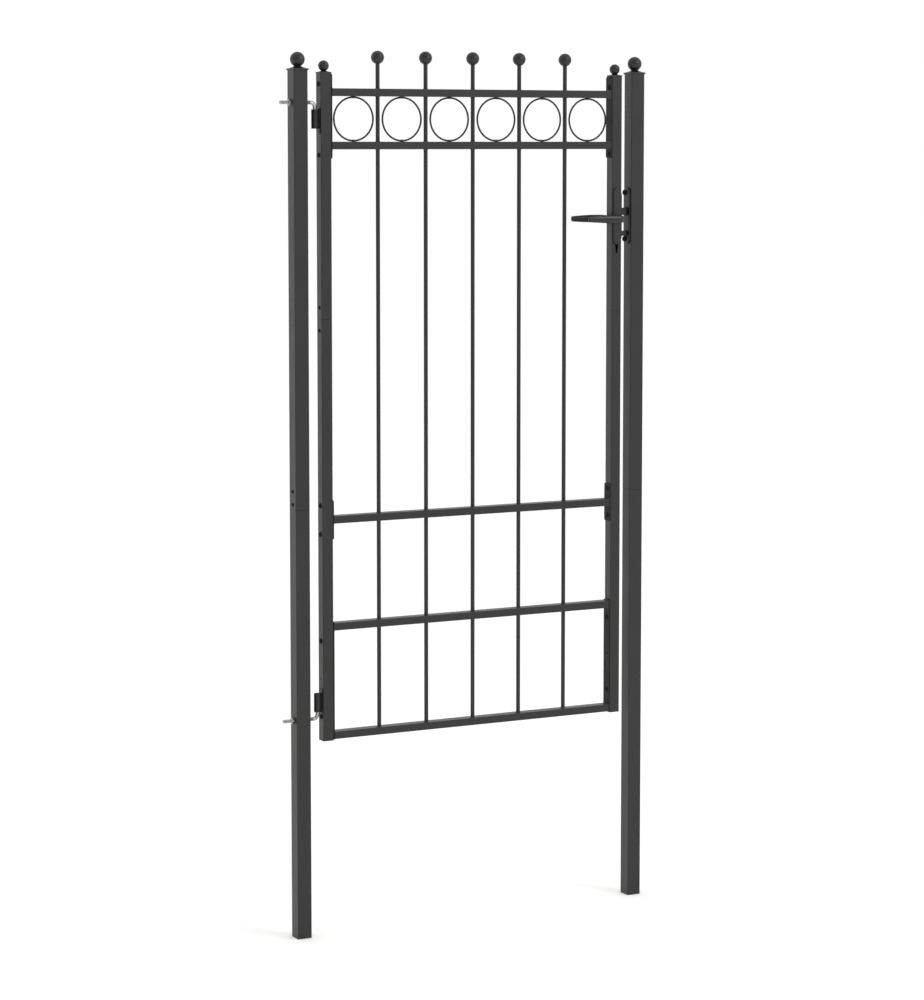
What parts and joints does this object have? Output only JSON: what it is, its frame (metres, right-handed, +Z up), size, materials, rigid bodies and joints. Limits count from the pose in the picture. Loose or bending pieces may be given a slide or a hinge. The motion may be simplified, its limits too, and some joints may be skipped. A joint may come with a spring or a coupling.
{
  "type": "garden gate",
  "caption": "Tall dark steel garden gate between two square posts, with vertical bars, balls, rings, a lever latch, a dead bolt and a keeper.",
  "frame": {"origin": "middle of the whole gate in plan, at the bottom of the posts", "axes": "+X from the hinge post to the latch post, +Y away from the side whose lever points to the hinges, the way the leaf opens, +Z up"},
  "size_m": [1.0836, 0.122, 2.336],
  "materials": {
    "powder_coated_steel": "satin dark grey powder coat",
    "zinc_plated_steel": "bright zinc plate",
    "black_plastic": "matt black"
  },
  "bodies": {
    "posts": {"hinge_post_lower": "powder_coated_steel", "hinge_post_upper": "powder_coated_steel", "latch_post_lower": "powder_coated_steel", "latch_post_upper": "powder_coated_steel", "post_sleeves": "zinc_plated_steel", "post_joint_screws": "powder_coated_steel", "hinge_post_cap": "powder_coated_steel", "latch_post_cap": "powder_coated_steel", "upper_hinge_rod": "zinc_plated_steel", "lower_hinge_rod": "zinc_plated_steel", "hinge_rod_nuts": "zinc_plated_steel", "hinge_rod_inserts": "zinc_plated_steel", "keeper": "powder_coated_steel", "keeper_screws": "powder_coated_steel"},
    "leaf": {"hinge_stile_lower": "powder_coated_steel", "hinge_stile_upper": "powder_coated_steel", "hinge_stile_cap": "powder_coated_steel", "latch_stile_lower": "powder_coated_steel", "latch_stile_upper": "powder_coated_steel", "latch_stile_cap": "powder_coated_steel", "stile_sleeves": "zinc_plated_steel", "stile_joint_screws": "powder_coated_steel", "stile_foot_plugs": "black_plastic", "top_rail": "powder_coated_steel", "ring_rail": "powder_coated_steel", "middle_rail": "powder_coated_steel", "lower_rail": "powder_coated_steel", "bottom_rail": "powder_coated_steel", "bar_1": "powder_coated_steel", "bar_2": "powder_coated_steel", "bar_3": "powder_coated_steel", "bar_4": "powder_coated_steel", "bar_5": "powder_coated_steel", "ball_finials": "powder_coated_steel", "rings": "powder_coated_steel", "hinge_side_top_plate": "powder_coated_steel", "latch_side_top_plate": "powder_coated_steel", "hinge_side_middle_plate": "powder_coated_steel", "latch_side_middle_plate": "powder_coated_steel", "hinge_side_bottom_plate": "powder_coated_steel", "latch_side_bottom_plate": "powder_coated_steel", "upper_hinge_barrel": "powder_coated_steel", "lower_hinge_barrel": "powder_coated_steel", "hinge_weld_plates": "powder_coated_steel", "front_lock_cover": "powder_coated_steel", "back_lock_cover": "powder_coated_steel", "cover_screws": "powder_coated_steel", "lock_case": "zinc_plated_steel", "lock_face_plate": "powder_coated_steel", "latch_spring": "zinc_plated_steel", "frame_bolts": "powder_coated_steel", "frame_cap_nuts": "powder_coated_steel"},
    "lever": {"front_lever": "powder_coated_steel", "back_lever": "powder_coated_steel", "lever_spindle": "zinc_plated_steel", "lever_hub": "zinc_plated_steel", "lever_grub_screws": "zinc_plated_steel"},
    "latch_bolt": {"latch_bolt": "powder_coated_steel"},
    "dead_bolt": {"dead_bolt": "powder_coated_steel"}
  },
  "joints": [
    {"name": "gate_swing", "type": "hinge", "parent": "posts", "child": "leaf", "pos_m": [-0.44275, 0, 0], "axis": [0, 0, 1], "range_deg": [0, 100]},
    {"name": "lever_turn", "type": "hinge", "parent": "leaf", "child": "lever", "pos_m": [0.45625, 0, 1.889], "axis": [0, -1, 0], "range_deg": [0, 30], "stiffness_Nm_per_rad": 1.5, "springref_deg": -34.38},
    {"name": "latch_slide", "type": "slide", "parent": "leaf", "child": "latch_bolt", "axis": [-1, 0, 0], "range_m": [0, 0.008], "deforming": ["latch_spring"]},
    {"name": "dead_bolt_slide", "type": "slide", "parent": "leaf", "child": "dead_bolt", "axis": [-1, 0, 0], "range_m": [0, 0.012]}
  ],
  "couplings": [
    {"joint": "latch_slide", "follows": "lever_turn", "m_per_rad": 0.01527}
  ]
}
